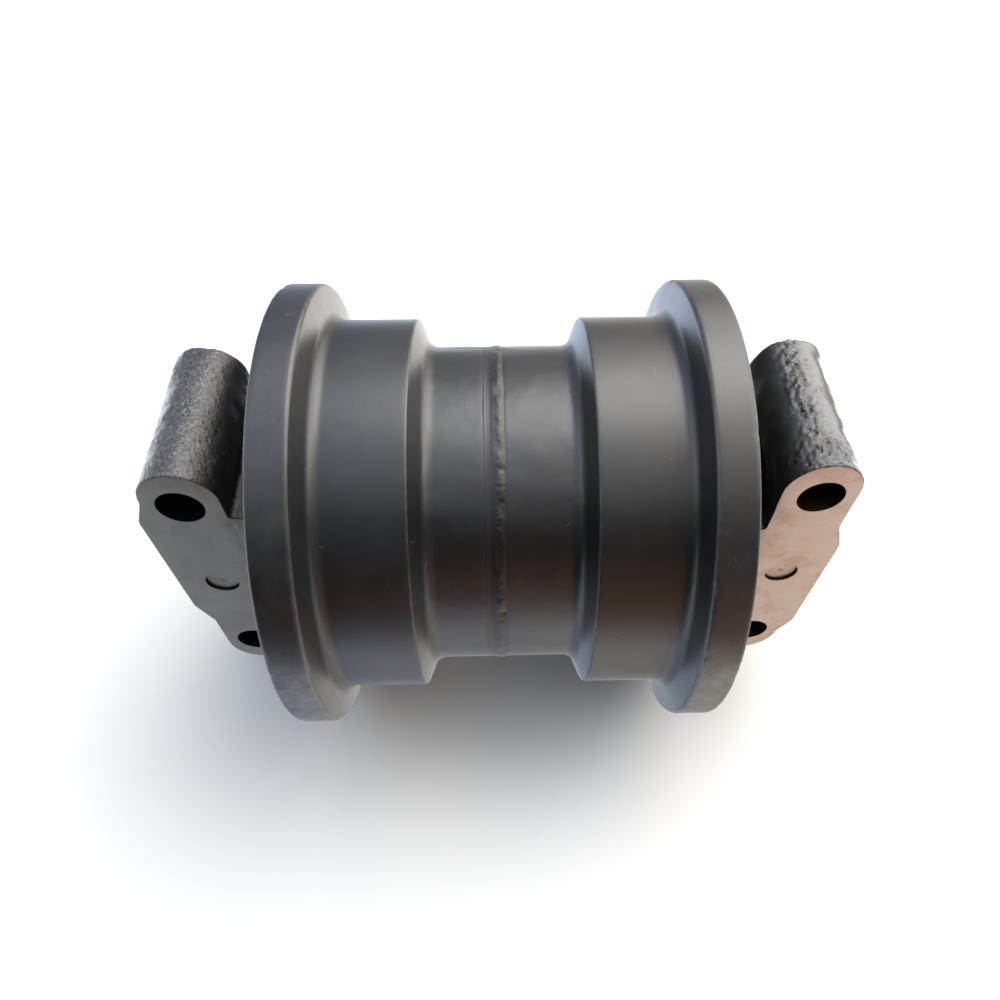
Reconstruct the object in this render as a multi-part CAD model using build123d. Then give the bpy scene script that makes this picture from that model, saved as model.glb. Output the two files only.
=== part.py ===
"""Track roller of a crawler undercarriage, double flange, with bolt-on end collars.

Millimetres. +Y is the spin axis, +X points out of the bolted faces (towards the track frame),
+Z completes the frame. The origin is on the spin axis, midway between the two treads.
"""

import os
from math import radians, tan

from build123d import *

# --- shell ---
FLANGE_R = 94.0
FLANGE_OUT_Y = 85.6
FLANGE_IN_Y = 70.8
FLANGE_TAPER = 12.5
FLANGE_EDGE_R = 1.8
FLANGE_ROOT_R = 5.0
TREAD_R = 79.5
TREAD_IN_Y = 33.6
WALL_FOOT_Y = 29.0
BARREL_R = 68.0
BARREL_ROOT_R = 5.5
WELD_Y = -3.0
WELD_HALF_W = 4.0
WELD_ROOT_R = 58.0
WELD_CROWN = 0.9
GALLERY_R = 34.0
GALLERY_Y = 14.4

# --- shaft and bushings ---
SHAFT_R = 25.0
SHAFT_END_Y = 133.4
SHOULDER_R = 29.5
SHOULDER_Y = 14.0
BUSH_CLEAR = 0.05
BUSH_OUT_R = 31.0
BUSH_IN_Y = 14.4
BUSH_FLANGE_R = 37.0
BUSH_FLANGE_Y = 58.0
BUSH_END_Y = 62.0
OIL_HOLE_R = 4.0
PLUG_R = 7.0
PLUG_IN_Y = 120.5
PLUG_OUT_Y = 132.4
PLUG_HEX_AF = 6.0
PLUG_HEX_DEEP = 6.0

# --- floating face seals ---
SEAL_Y = 86.5
SEAL_GAP = 0.1
SEAL_RING_LONG = 9.5
SEAL_BORE_R = 27.5
SEAL_BACK_R = 33.5
SEAL_FACE_R = 38.5
SEAL_LIP = 2.2
SEAL_HOUSING_R = 41.5
TORIC_IN_Y = 76.8
TORIC_OUT_Y = 83.4
TORIC_ROUND = 2.6

# --- end collars ---
FACE_X = 39.3
BOSS_BACK_X = -26.5
BOLT_Y = 117.0
BOLT_Z = 52.0
BOLT_HOLE_R = 8.75
BOSS_Y = 116.2
BOSS_HALF_Y = 14.8
BOSS_LONG_Z = 3.4
HUB_R = 48.0
HUB_IN_Y = 87.4
CORE_IN_Y = 96.0
CORE_OUT_Y = 131.0
CORE_R = 39.0
PAD_TOP_Z = 32.0
PAD_LOW_Z = -45.0
SWELL_Y = 136.0
SWELL_R = 34.0
SWELL_TOP_Z = 33.0
SWELL_DROP_Z = 14.0
SWELL_LOW_Z = -42.5
BORE_CLEAR = 0.03
BOSS_TANGENT_Y = 129.6
BOSS_TANGENT_Z = 58.0
PLATE_DEEP = 38.0
CAVITY_FLOOR_Y = 100.0
CAST_R = 2.0
SPOT_R = 14.0
SPOT_DEEP = 1.0

# --- lock pins and shaft O-rings ---
PIN_Y = 117.5
PIN_R = 6.75
PIN_TIP_X = 12.0
PIN_HEAD_X = 38.0
ORING_Y = 105.0
ORING_W = 3.6
ORING_GROOVE_R = 22.6


def turned(points, rounds=()):
    """A solid of revolution about Y from (y, radius) corners, some of them rounded."""
    face = Plane.XY * make_face(Polyline(*[(r, y) for y, r in points], close=True))
    for (y, r), size in rounds:
        corner = face.vertices().sort_by_distance(Vector(r, y, 0))[0]
        face = fillet(corner, size)
    return revolve(face, Axis.Y, 360)


def rod_y(radius, y0, y1):
    """A cylinder on the spin axis between two stations."""
    return Pos(0, (y0 + y1) / 2, 0) * Rot(X=90) * Cylinder(radius, abs(y1 - y0))


def rod_x(radius, x0, x1, y, z=0.0):
    """A cylinder along X through (y, z)."""
    return Pos((x0 + x1) / 2, y, z) * Rot(Y=90) * Cylinder(radius, abs(x1 - x0))


def shell_half(joint_y):
    """A half out to +Y: tread, flange, sloped wall, barrel, bores and its side of the weld's V."""
    rim_drop = (FLANGE_R - TREAD_R) * tan(radians(FLANGE_TAPER))
    root = (FLANGE_IN_Y - rim_drop, TREAD_R)
    rim_in = (FLANGE_IN_Y, FLANGE_R)
    rim_out = (FLANGE_OUT_Y, FLANGE_R)
    tread_edge = (TREAD_IN_Y, TREAD_R)
    foot = (WALL_FOOT_Y, BARREL_R)
    corners = [
        (joint_y, GALLERY_R),
        (joint_y, WELD_ROOT_R),
        (joint_y + WELD_HALF_W, BARREL_R),
        foot,
        tread_edge,
        root,
        rim_in,
        rim_out,
        (FLANGE_OUT_Y, SEAL_HOUSING_R + 1.5),
        (FLANGE_OUT_Y - 1.5, SEAL_HOUSING_R),
        (TORIC_IN_Y - 2.0, SEAL_HOUSING_R),
        (66.0, BUSH_FLANGE_R),
        (BUSH_FLANGE_Y, BUSH_FLANGE_R),
        (BUSH_FLANGE_Y, BUSH_OUT_R),
        (GALLERY_Y, BUSH_OUT_R),
        (GALLERY_Y, GALLERY_R),
    ]
    rounds = [
        (foot, BARREL_ROOT_R),
        (tread_edge, 1.0),
        (root, FLANGE_ROOT_R),
        (rim_in, FLANGE_EDGE_R),
        (rim_out, FLANGE_EDGE_R),
    ]
    return turned(corners, rounds)


def weld_bead():
    """The weld metal that fills the V between the two halves, with a low crown."""
    half = [(0.0, WELD_ROOT_R), (WELD_HALF_W, BARREL_R)]
    crown = [(WELD_HALF_W / 2, BARREL_R + 0.7 * WELD_CROWN), (0.0, BARREL_R + WELD_CROWN)]
    left = [(-y, r) for y, r in reversed(half[1:] + crown[:1])]
    return Pos(0, WELD_Y, 0) * turned(half + crown + left)


def bushing():
    """A flanged plain bearing, pressed into the +Y half of the shell."""
    bore = SHAFT_R + BUSH_CLEAR
    corners = [
        (BUSH_IN_Y, bore),
        (BUSH_IN_Y, BUSH_OUT_R),
        (BUSH_FLANGE_Y, BUSH_OUT_R),
        (BUSH_FLANGE_Y, BUSH_FLANGE_R),
        (BUSH_END_Y, BUSH_FLANGE_R),
        (BUSH_END_Y, bore + 1.0),
        (BUSH_END_Y - 1.0, bore),
    ]
    return turned(corners)


def seal_ring():
    """The rotating metal ring of the +Y face seal. Its lapped face looks towards +Y."""
    face = SEAL_Y - SEAL_GAP / 2
    back = face - SEAL_RING_LONG
    corners = [
        (back, SEAL_BORE_R),
        (back, SEAL_BACK_R),
        (face - SEAL_LIP - 0.8, SEAL_BACK_R),
        (face - SEAL_LIP, SEAL_FACE_R),
        (face, SEAL_FACE_R),
        (face, SEAL_BORE_R + 2.0),
        (face - 1.2, SEAL_BORE_R),
    ]
    return turned(corners)


def toric_ring():
    """The squeezed rubber ring between the rotating seal ring and the shell, +Y side."""
    inner = (TORIC_IN_Y, SEAL_BACK_R)
    outer = (TORIC_IN_Y, SEAL_HOUSING_R)
    outer_end = (TORIC_OUT_Y, SEAL_HOUSING_R)
    inner_end = (TORIC_OUT_Y, SEAL_BACK_R)
    corners = [inner, outer, outer_end, inner_end]
    return turned(corners, [(corner, TORIC_ROUND) for corner in corners])


def across_seal(piece):
    """The same piece mirrored across the plane where the +Y seal rings meet."""
    return mirror(piece, Plane((0, SEAL_Y, 0), z_dir=(0, 1, 0)))


def collar():
    """The +Y end collar: two bolt bosses, a core round the shaft, and the seal hub."""
    body = core_block()
    for z in (-BOLT_Z, BOLT_Z):
        body += bolt_boss(z)
    body += rod_y(HUB_R, HUB_IN_Y, CORE_IN_Y + 4.0)
    body -= rod_y(SEAL_HOUSING_R, HUB_IN_Y - 1.0, CAVITY_FLOOR_Y)
    body -= rod_y(SHAFT_R + BORE_CLEAR, CAVITY_FLOOR_Y - 1.0, SWELL_Y + 1.0)
    for z in (-BOLT_Z, BOLT_Z):
        body -= rod_x(BOLT_HOLE_R, BOSS_BACK_X - 1.0, FACE_X + 1.0, BOLT_Y, z)
        body -= rod_x(SPOT_R, BOSS_BACK_X - 1.0, BOSS_BACK_X + SPOT_DEEP, BOLT_Y, z)
    body -= rod_x(PIN_R, SHAFT_R - 5.0, FACE_X + 1.0, PIN_Y)
    return body


def bolt_boss(z):
    """A long obround boss along X, with its cast edges eased at the back end."""
    face = Plane((FACE_X, BOSS_Y, z), x_dir=(0, 1, 0), z_dir=(1, 0, 0))
    outline = SlotCenterToCenter(2 * BOSS_LONG_Z, 2 * BOSS_HALF_Y, rotation=90)
    boss = extrude(face * outline, BOSS_BACK_X - FACE_X)
    back = boss.faces().sort_by(Axis.X)[0]
    return fillet(back.edges(), CAST_R)


def core_block():
    """The block between the bosses: round behind the shaft, flat at the bolted face."""
    block = rod_y(CORE_R, CORE_IN_Y, CORE_OUT_Y) + rod_y(SWELL_R, CORE_OUT_Y, SWELL_Y)
    rim = block.edges().filter_by(GeomType.CIRCLE).sort_by(Axis.Y)[-1]
    block = fillet(rim, CAST_R)
    boss_in = BOSS_Y - BOSS_HALF_Y + 0.4
    outline = [
        (CORE_IN_Y, PAD_LOW_Z),
        (boss_in, PAD_LOW_Z),
        (boss_in, -BOLT_Z),
        (BOSS_TANGENT_Y, -BOSS_TANGENT_Z),
        (SWELL_Y, SWELL_LOW_Z),
        (SWELL_Y, SWELL_TOP_Z - SWELL_DROP_Z),
        (CORE_OUT_Y, SWELL_TOP_Z),
        (CORE_OUT_Y, BOLT_Z),
        (boss_in, BOLT_Z),
        (boss_in, PAD_TOP_Z),
        (CORE_IN_Y, PAD_TOP_Z),
    ]
    face = Plane((FACE_X, 0, 0), x_dir=(0, 1, 0), z_dir=(1, 0, 0))
    plate = extrude(face * make_face(Polyline(*outline, close=True)), -PLATE_DEEP)
    outer = plate.edges().filter_by(Axis.X).group_by(Axis.Y)[-1]
    plate = fillet(outer, CAST_R)
    return block + plate


def shaft():
    """The fixed axle: journals, middle shoulder, O-ring grooves, pin seats and oil ways."""
    body = rod_y(SHAFT_R, -SHAFT_END_Y, SHAFT_END_Y)
    body = chamfer(body.edges().filter_by(GeomType.CIRCLE), 1.5)
    body += rod_y(SHOULDER_R, -SHOULDER_Y, SHOULDER_Y)
    body -= rod_y(OIL_HOLE_R, -6.0, SHAFT_END_Y + 1.0)
    body -= rod_y(PLUG_R, PLUG_IN_Y, SHAFT_END_Y + 1.0)
    body -= rod_x(OIL_HOLE_R, 0.0, -SHOULDER_R - 1.0, 0.0)
    for side in (-1, 1):
        ring = rod_y(SHAFT_R + 1.0, side * ORING_Y - ORING_W / 2, side * ORING_Y + ORING_W / 2)
        ring -= rod_y(ORING_GROOVE_R, side * ORING_Y - ORING_W, side * ORING_Y + ORING_W)
        body -= ring
        body -= rod_x(PIN_R, PIN_TIP_X, SHAFT_R + 5.0, side * PIN_Y)
    return body


def shaft_oring():
    """The O-ring between the shaft and the +Y collar, squeezed in its groove."""
    low = ORING_Y - ORING_W / 2
    high = ORING_Y + ORING_W / 2
    top = SHAFT_R + BORE_CLEAR
    corners = [(low, ORING_GROOVE_R), (low, top), (high, top), (high, ORING_GROOVE_R)]
    return turned(corners, [(corner, 1.0) for corner in corners])


def lock_pin():
    """The pin that holds the shaft in the +Y collar."""
    pin = rod_x(PIN_R, PIN_TIP_X, PIN_HEAD_X, PIN_Y)
    ends = pin.edges().filter_by(GeomType.CIRCLE)
    return chamfer(ends, 0.6)


def oil_plug():
    """The plug of the oil hole, with a hexagon socket."""
    plug = rod_y(PLUG_R, PLUG_IN_Y, PLUG_OUT_Y)
    mouth = Plane((0, PLUG_OUT_Y, 0), x_dir=(1, 0, 0), z_dir=(0, 1, 0))
    socket = mouth * RegularPolygon(PLUG_HEX_AF / 2, 6, major_radius=False)
    return plug - extrude(socket, -PLUG_HEX_DEEP)


def mirrored(piece):
    """The same turned piece on the -Y side."""
    return mirror(piece, Plane.XZ)


def main():
    """Builds every piece and writes one STEP file for each."""
    half = shell_half(WELD_Y)
    bush = bushing()
    ring = seal_ring()
    toric = toric_ring()
    end = collar()
    fixed_ring = across_seal(ring)
    fixed_toric = across_seal(toric)
    o_ring = shaft_oring()
    pin = lock_pin()
    nodes = {
        "shell_half_right": half,
        "shell_half_left": mirrored(shell_half(-WELD_Y)),
        "weld_bead": weld_bead(),
        "bushing_right": bush,
        "bushing_left": mirrored(bush),
        "seal_ring_rotating_right": ring,
        "seal_ring_rotating_left": mirrored(ring),
        "toric_ring_rotating_right": toric,
        "toric_ring_rotating_left": mirrored(toric),
        "seal_ring_fixed_right": fixed_ring,
        "seal_ring_fixed_left": mirrored(fixed_ring),
        "toric_ring_fixed_right": fixed_toric,
        "toric_ring_fixed_left": mirrored(fixed_toric),
        "shaft": shaft(),
        "shaft_oring_right": o_ring,
        "shaft_oring_left": mirrored(o_ring),
        "collar_right": end,
        "collar_left": Rot(X=180) * end,
        "lock_pin_right": pin,
        "lock_pin_left": mirrored(pin),
        "oil_plug": oil_plug(),
    }
    os.makedirs("parts", exist_ok=True)
    for name, solid in nodes.items():
        export_step(solid, f"parts/{name}.step")


if __name__ == "__main__":
    main()
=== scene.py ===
import math

import bmesh
import bpy
import numpy as np
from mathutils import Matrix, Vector


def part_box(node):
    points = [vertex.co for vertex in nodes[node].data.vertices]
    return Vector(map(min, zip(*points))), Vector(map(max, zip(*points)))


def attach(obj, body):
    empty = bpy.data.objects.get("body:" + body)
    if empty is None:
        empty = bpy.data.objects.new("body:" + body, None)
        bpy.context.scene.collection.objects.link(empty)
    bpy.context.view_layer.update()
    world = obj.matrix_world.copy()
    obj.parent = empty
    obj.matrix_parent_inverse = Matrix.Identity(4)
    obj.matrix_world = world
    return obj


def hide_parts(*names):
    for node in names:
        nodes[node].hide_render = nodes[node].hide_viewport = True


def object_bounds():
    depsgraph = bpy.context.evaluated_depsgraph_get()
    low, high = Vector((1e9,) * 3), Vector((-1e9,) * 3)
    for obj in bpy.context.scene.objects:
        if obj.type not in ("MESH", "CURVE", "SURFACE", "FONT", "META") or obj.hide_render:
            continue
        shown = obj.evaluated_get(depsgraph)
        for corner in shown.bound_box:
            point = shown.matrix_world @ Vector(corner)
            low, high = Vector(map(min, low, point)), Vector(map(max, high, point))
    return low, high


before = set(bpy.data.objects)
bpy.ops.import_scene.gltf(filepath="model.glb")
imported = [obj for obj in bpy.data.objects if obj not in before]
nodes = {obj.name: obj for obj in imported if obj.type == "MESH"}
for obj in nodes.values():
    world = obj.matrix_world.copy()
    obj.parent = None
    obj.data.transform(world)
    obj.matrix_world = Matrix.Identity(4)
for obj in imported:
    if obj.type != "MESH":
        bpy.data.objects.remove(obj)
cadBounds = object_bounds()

mm = 0.001
scene = bpy.context.scene
print("frame loaded:", len(nodes), "CAD nodes")


def linear(hexColour):
    # sRGB hex to the linear colour that shaders use
    raw = np.array([int(hexColour[i:i + 2], 16) for i in (1, 3, 5)]) / 255.0
    lin = np.where(raw <= 0.04045, raw / 12.92, ((raw + 0.055) / 1.055) ** 2.4)
    return (*[float(c) for c in lin], 1.0)


def addNode(tree, kind, settings=None, values=None, links=None, stops=None):
    # one shader node, its properties, its constant inputs, what feeds the others, and a ramp's colour stops
    made = tree.nodes.new(kind)
    for key, value in (settings or {}).items():
        setattr(made, key, value)
    for key, value in (values or {}).items():
        made.inputs[key].default_value = value
    for key, socket in (links or {}).items():
        tree.links.new(socket, made.inputs[key])
    for k, (position, colour) in enumerate(stops or []):
        band = made.color_ramp.elements
        if k >= len(band):
            band.new(position)
        band[k].position, band[k].color = position, colour
    return made


def newMaterial(name, **values):
    # a material with a Principled shader, and its constant values on the shader's own sockets
    mat = bpy.data.materials.new(name)
    mat.use_nodes = True
    tree = mat.node_tree
    tree.nodes.clear()
    shader = addNode(tree, "ShaderNodeBsdfPrincipled")
    for key, value in values.items():
        shader.inputs[key.replace("_", " ")].default_value = value
    addNode(tree, "ShaderNodeOutputMaterial", links={"Surface": shader.outputs["BSDF"]})
    return mat, tree, shader


def smoothStep(values, low, high):
    # 0 below low, 1 above high, and an S curve between
    t = np.clip((values - low) / (high - low), 0.0, 1.0)
    return t * t * (3.0 - 2.0 * t)


def waves(points, size, seed, count=28):
    # a smooth random field: the sum of sine waves of about one length, in seeded directions and phases
    rng = np.random.default_rng(seed)
    ways = rng.normal(size=(count, 3))
    ways /= np.linalg.norm(ways, axis=1, keepdims=True)
    lengths = size * rng.uniform(0.7, 1.5, count)
    turns = points @ (ways * (2.0 * math.pi / lengths)[:, None]).T
    return np.sin(turns + rng.uniform(0.0, 2.0 * math.pi, count)).sum(axis=1) / math.sqrt(count / 2)


def dents(points, centres, sizes, depths):
    # round hollows: each is a bell curve of the distance from its centre
    total = np.zeros(len(points))
    for centre, size, depth in zip(centres, sizes, depths):
        apart = ((points - centre) ** 2).sum(axis=1)
        total += depth * np.exp(-apart / (2.0 * size * size))
    return total


def gridMesh(name, points, loopU=True, loopV=True):
    # quads over points[u, v] in millimetres, joined end to end along each direction that loops
    rows, cols = points.shape[:2]
    index = np.arange(rows * cols).reshape(rows, cols)
    quads = np.stack([index, np.roll(index, -1, 0), np.roll(np.roll(index, -1, 0), -1, 1),
                      np.roll(index, -1, 1)], axis=-1)
    quads = quads[:rows if loopU else rows - 1, :cols if loopV else cols - 1].reshape(-1, 4)
    flat = points.reshape(-1, 3)
    a, b, c, d = (flat[quads[:, k]] for k in range(4))
    volume = (np.cross(b, c) * a).sum() + (np.cross(c, d) * a).sum()
    if volume < 0:
        quads = quads[:, ::-1]  # faces point outwards
    mesh = bpy.data.meshes.new(name)
    mesh.vertices.add(len(flat))
    mesh.vertices.foreach_set("co", (flat * mm).astype(np.float32).ravel())
    mesh.loops.add(quads.size)
    mesh.loops.foreach_set("vertex_index", quads.astype(np.int32).ravel())
    mesh.polygons.add(len(quads))
    mesh.polygons.foreach_set("loop_start", np.arange(0, quads.size, 4, dtype=np.int32))
    mesh.polygons.foreach_set("use_smooth", np.ones(len(quads), bool))
    mesh.update(calc_edges=True)
    mesh.validate()
    return mesh


def addAttribute(mesh, name, values):
    # one number for each vertex, which a material reads
    layer = mesh.attributes.new(name, "FLOAT", "POINT")
    layer.data.foreach_set("value", values.astype(np.float32).ravel())


def addPiece(name, mesh, body, stoodFor, materials):
    # an object in the row frame that rides on a body and stands for CAD nodes
    piece = bpy.data.objects.new(name, mesh)
    scene.collection.objects.link(piece)
    for mat in materials:
        mesh.materials.append(mat)
    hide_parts(*stoodFor)
    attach(piece, body)
    return piece


def roundedLoop(corners, step, coarseStep, coarseBelow):
    # a closed outline through (y, radius, rounding) corners: straight runs cut into steps, and each
    # rounded corner an arc that touches both of its runs
    place = np.array([c[:2] for c in corners], float)
    size = np.array([c[2] for c in corners], float)
    before = np.roll(place, 1, 0) - place
    after = np.roll(place, -1, 0) - place
    before /= np.linalg.norm(before, axis=1, keepdims=True)
    after /= np.linalg.norm(after, axis=1, keepdims=True)
    half = np.arccos(np.clip((before * after).sum(axis=1), -1.0, 1.0)) / 2.0
    reach = size / np.tan(half)
    enter = place + before * reach[:, None]
    leave = place + after * reach[:, None]
    middle = before + after
    middle /= np.maximum(np.linalg.norm(middle, axis=1, keepdims=True), 1e-9)
    centre = place + middle * (size / np.sin(half))[:, None]
    path = []
    for k in range(len(corners)):
        if size[k] > 0:
            start, stop = enter[k] - centre[k], leave[k] - centre[k]
            sweep = math.acos(np.clip(start @ stop / size[k] ** 2, -1.0, 1.0))
            pieces = max(4, int(math.ceil(sweep * size[k] / (step * 0.45))))
            t = np.linspace(0.0, 1.0, pieces + 1)[:, None]
            arc = (np.sin((1 - t) * sweep) * start + np.sin(t * sweep) * stop) / math.sin(sweep)
            path.append(centre[k] + arc)
        else:
            path.append(place[k:k + 1])
        start, stop = leave[k], enter[(k + 1) % len(corners)]
        run = np.linalg.norm(stop - start)
        fine = max(start[1], stop[1]) > coarseBelow
        pieces = max(1, int(round(run / (step if fine else coarseStep))))
        path.append(start + (stop - start) * np.linspace(0.0, 1.0, pieces + 1)[1:-1, None])
    return np.concatenate(path)


def turnedGrid(profile, around):
    # points of a profile of (y, radius) carried round the Y axis: x = r cos t, z = r sin t
    t = np.linspace(0.0, 2.0 * math.pi, around, endpoint=False)
    y, r = profile[:, :1], profile[:, 1:]
    return np.stack([r * np.cos(t), np.broadcast_to(y, (len(profile), around)), r * np.sin(t)], axis=-1)


shellValues = {
    "around": 420, "step": 1.3, "coarseStep": 5.0,       # steps round the shell, and mm along its outline
    "flangeTaper": 12.5, "rimRound": 1.8, "rootRound": 5.0, "footRound": 5.5, "edgeRound": 1.0,
    "treadRadius": 79.5, "treadInner": 33.6, "barrelRadius": 68.0, "wallFoot": 29.0,
    "flangeInner": 70.8, "weldRoot": 58.0, "galleryRadius": 34.0, "bushSeat": 31.0, "sealPocket": 74.8,
    "bushPocket": (58.0, 66.0),
    "waviness": 0.012, "forgedWaviness": 0.03,            # mm, on turned faces and on the barrel
    "waveLengths": (16.0, 5.0), "smallWaves": 0.35,       # mm, and the share of the short ones
    "jointRound": 0.35, "sealChamfer": 1.5, "coarseMargin": 1.0,
    "wavesPastSeal": (2.0, 8.0), "forgedPastBarrel": (0.5, 3.0),   # mm of radius over which they come and go
    "nicks": 12, "nickDepth": (0.15, 0.5), "nickSize": (0.8, 1.8), "outerNicks": 0.6,
    # wear near the tread and rim edges, which is also a painted highlight along the edge radii
    "wearAndHighlightReach": (0.7, 1.3, 1.3), "mostNickWear": 0.6, "rimBandDepth": (1.6, 0.2),
    # rim scuffs, strongest where the rim faces front and down, where they are also a painted reflection of the
    # ground
    "paintedReflectionAt": -30.0, "paintedReflectionSpan": (0.6, 0.86), "oldScuffs": 0.06,   # degrees round, cosine of the spread
    "seeds": {"Right": 11, "Left": 23},
}


def shellHalf(side):
    # a profile of (y, radius) carried round Y, worked out for +Y and mirrored for -Y, with shallow waves
    # along its normals and small nicks cut into the rim edges
    v = shellValues
    word = "Right" if side > 0 else "Left"
    low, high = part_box("shell_half_" + word.lower())
    rim = high.z / mm
    joint, end = sorted(side * c.y / mm for c in (low, high))
    weldHalf = (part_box("weld_bead")[1].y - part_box("weld_bead")[0].y) / 2 / mm
    rootY = v["flangeInner"] - (rim - v["treadRadius"]) * math.tan(math.radians(v["flangeTaper"]))
    seal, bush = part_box("toric_ring_rotating_right")[1].z / mm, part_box("bushing_right")
    chamfer = v["sealChamfer"]
    corners = [
        (joint, v["galleryRadius"], 0.0), (joint, v["weldRoot"], 0.0),
        (joint + weldHalf, v["barrelRadius"], v["jointRound"]), (v["wallFoot"], v["barrelRadius"], v["footRound"]),
        (v["treadInner"], v["treadRadius"], v["edgeRound"]), (rootY, v["treadRadius"], v["rootRound"]),
        (v["flangeInner"], rim, v["rimRound"]), (end, rim, v["rimRound"]),
        (end, seal + chamfer, 0.0), (end - chamfer, seal, 0.0), (v["sealPocket"], seal, 0.0),
        (v["bushPocket"][1], bush[1].z / mm, 0.0), (v["bushPocket"][0], bush[1].z / mm, 0.0),
        (v["bushPocket"][0], v["bushSeat"], 0.0), (bush[0].y / mm, v["bushSeat"], 0.0),
        (bush[0].y / mm, v["galleryRadius"], 0.0),
    ]
    profile = roundedLoop(corners, v["step"], v["coarseStep"], seal + v["coarseMargin"])
    grid = turnedGrid(profile, v["around"])
    edges = np.array([corners[k][:2] for k in (4, 6, 7)])
    apart = np.linalg.norm(profile[:, None, :] - edges[None], axis=2)
    wearAndHighlight = np.exp(-(apart / np.array(v["wearAndHighlightReach"])) ** 2).sum(axis=1)
    rimScuffAndReflection = smoothStep(profile[:, 1], *(rim - depth for depth in v["rimBandDepth"]))

    flat = grid.reshape(-1, 3)
    radius = np.hypot(flat[:, 0], flat[:, 2])
    outside = smoothStep(radius, *(seal + past for past in v["wavesPastSeal"]))
    onBarrel = 1.0 - smoothStep(radius, *(v["barrelRadius"] + past for past in v["forgedPastBarrel"]))
    seed, (longWave, shortWave) = v["seeds"][word], v["waveLengths"]
    height = v["waviness"] + v["forgedWaviness"] * onBarrel
    lift = height * (waves(flat, longWave, seed) + v["smallWaves"] * waves(flat, shortWave, seed + 1))
    tangent = np.roll(profile, -1, 0) - np.roll(profile, 1, 0)
    outY, outR = -tangent[:, 1], tangent[:, 0]
    length = np.hypot(outY, outR) + 1e-9
    t = np.linspace(0.0, 2.0 * math.pi, v["around"], endpoint=False)
    outR, outY = (outR / length)[:, None], np.repeat((outY / length)[:, None], len(t), 1)
    normal = np.stack([outR * np.cos(t), outY, outR * np.sin(t)], axis=-1).reshape(-1, 3)
    rng = np.random.default_rng(seed + 5)
    angle = rng.uniform(0.0, 2.0 * math.pi, v["nicks"])
    nickY = np.where(rng.random(v["nicks"]) < v["outerNicks"], end, v["flangeInner"])
    centres = np.stack([rim * np.cos(angle), nickY, rim * np.sin(angle)], axis=1)
    sizes, depths = rng.uniform(*v["nickSize"], v["nicks"]), rng.uniform(*v["nickDepth"], v["nicks"])
    cut = dents(flat, centres, sizes, depths)
    flat = flat + normal * (lift * outside - cut)[:, None]
    shrink = np.minimum(1.0, rim / np.maximum(np.hypot(flat[:, 0], flat[:, 2]), 1e-6))
    flat[:, 0] *= shrink
    flat[:, 2] *= shrink
    flat[:, 1] = np.clip(flat[:, 1], joint, end) * side
    mesh = gridMesh("shellHalf" + word, flat.reshape(grid.shape))
    # edge wear near the edges and nicks, and a painted highlight along the edge radii
    addAttribute(mesh, "edgeWearAndHighlight", np.repeat(wearAndHighlight, v["around"]) + np.minimum(cut, v["mostNickWear"]))
    # rim scuffs, pale on the side that faces front and down as a painted reflection, with old scuffs elsewhere
    scuffedAndReflecting = smoothStep(np.cos(t - math.radians(v["paintedReflectionAt"])), *v["paintedReflectionSpan"])
    addAttribute(mesh, "rimScuffAndReflection", rimScuffAndReflection[:, None] * (v["oldScuffs"] + (1.0 - v["oldScuffs"]) * scuffedAndReflecting))
    return mesh


weldValues = {
    "around": 1300, "across": 37, "overlap": 0.7, "sink": 0.5, "seed": 3,   # steps, mm past and below its edges
    "crown": 0.1, "dish": 0.2, "dishSpan": (-3.9, -0.1), "ridge": 0.42, "ridgeAt": 1.9, "ridgeHalfWidth": 1.5,
    "dishSlope": 1.5, "groove": 0.12, "grooveAt": 3.8, "grooveHalfWidth": 0.45,
    "ripplePitch": 2.4, "rippleHeight": 0.012, "rippleLean": 1.1, "rippleAway": 0.3,
    "lumps": 0.045, "lumpSizes": (3.4, 1.7), "smallLumps": 0.6,
    "brokenSize": 9.0, "brokenLevel": 0.75, "brokenRange": 0.4,          # how the ridge comes and goes
    "roughestAt": 75.0, "calmLevel": 0.62,                               # degrees round, and the level between
    "pits": 7, "pitSize": (0.5, 1.0), "pitDepth": (0.15, 0.4), "pitSpread": (1.1, 0.7),   # radians, mm
}


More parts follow.
